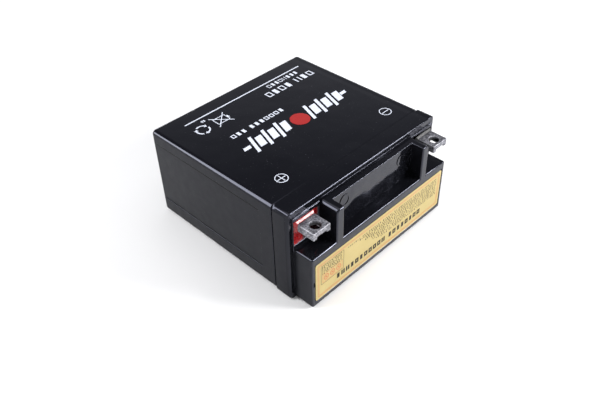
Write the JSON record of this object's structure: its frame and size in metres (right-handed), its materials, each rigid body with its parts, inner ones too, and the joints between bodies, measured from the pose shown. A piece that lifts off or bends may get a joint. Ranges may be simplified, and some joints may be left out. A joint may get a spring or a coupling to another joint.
{
  "type": "motorcycle battery",
  "caption": "Sealed black 12 V motorcycle battery lying on its back, with cast lead lugs in two pockets, a raised vent block, a label, and its cells inside.",
  "frame": {"origin": "under the middle of the battery as it lies on its back, on the plane it lies on", "axes": "+X from the positive end to the negative end along the length, -Y towards the terminals (up on the installed battery), +Z out of the large front face"},
  "size_m": [0.12, 0.1232, 0.0602],
  "materials": {
    "shell": "black moulded polypropylene, glossy front and satin sides",
    "strip": "black moulded plastic",
    "label": "printed pale yellow sticker, slightly glossy",
    "rubber": "black rubber",
    "lead": null,
    "resin_red": "glossy red casting resin",
    "resin_black": "glossy black casting resin",
    "positive_paste": "dark brown lead dioxide paste on a lead grid",
    "negative_paste": "grey spongy lead paste on a lead grid",
    "glass_mat": "white glass-fibre mat soaked with electrolyte"
  },
  "bodies": {
    "battery": {"container": "shell", "cover": "shell", "vent_strip": "strip", "precaution_label": "label", "terminal_positive": "lead", "terminal_negative": "lead", "seal_positive": "resin_red", "seal_negative": "resin_black", "post_positive": "lead", "post_negative": "lead", "positive_plates_1": "positive_paste", "positive_plates_2": "positive_paste", "positive_plates_3": "positive_paste", "positive_plates_4": "positive_paste", "positive_plates_5": "positive_paste", "positive_plates_6": "positive_paste", "negative_plates_1": "negative_paste", "negative_plates_2": "negative_paste", "negative_plates_3": "negative_paste", "negative_plates_4": "negative_paste", "negative_plates_5": "negative_paste", "negative_plates_6": "negative_paste", "separator_1": "glass_mat", "separator_2": "glass_mat", "separator_3": "glass_mat", "separator_4": "glass_mat", "separator_5": "glass_mat", "separator_6": "glass_mat", "cell_link_1": "lead", "cell_link_2": "lead", "cell_link_3": "lead", "cell_link_4": "lead", "cell_link_5": "lead"},
    "valve_1": {"relief_valve_1": "rubber"},
    "valve_2": {"relief_valve_2": "rubber"},
    "valve_3": {"relief_valve_3": "rubber"},
    "valve_4": {"relief_valve_4": "rubber"},
    "valve_5": {"relief_valve_5": "rubber"},
    "valve_6": {"relief_valve_6": "rubber"}
  },
  "joints": [
    {"name": "valve_1_lift", "type": "slide", "parent": "battery", "child": "valve_1", "axis": [0, -1, 0], "range_m": [0, 0.0008], "stiffness_N_per_m": 1000},
    {"name": "valve_2_lift", "type": "slide", "parent": "battery", "child": "valve_2", "axis": [0, -1, 0], "range_m": [0, 0.0008], "stiffness_N_per_m": 1000},
    {"name": "valve_3_lift", "type": "slide", "parent": "battery", "child": "valve_3", "axis": [0, -1, 0], "range_m": [0, 0.0008], "stiffness_N_per_m": 1000},
    {"name": "valve_4_lift", "type": "slide", "parent": "battery", "child": "valve_4", "axis": [0, -1, 0], "range_m": [0, 0.0008], "stiffness_N_per_m": 1000},
    {"name": "valve_5_lift", "type": "slide", "parent": "battery", "child": "valve_5", "axis": [0, -1, 0], "range_m": [0, 0.0008], "stiffness_N_per_m": 1000},
    {"name": "valve_6_lift", "type": "slide", "parent": "battery", "child": "valve_6", "axis": [0, -1, 0], "range_m": [0, 0.0008], "stiffness_N_per_m": 1000}
  ]
}
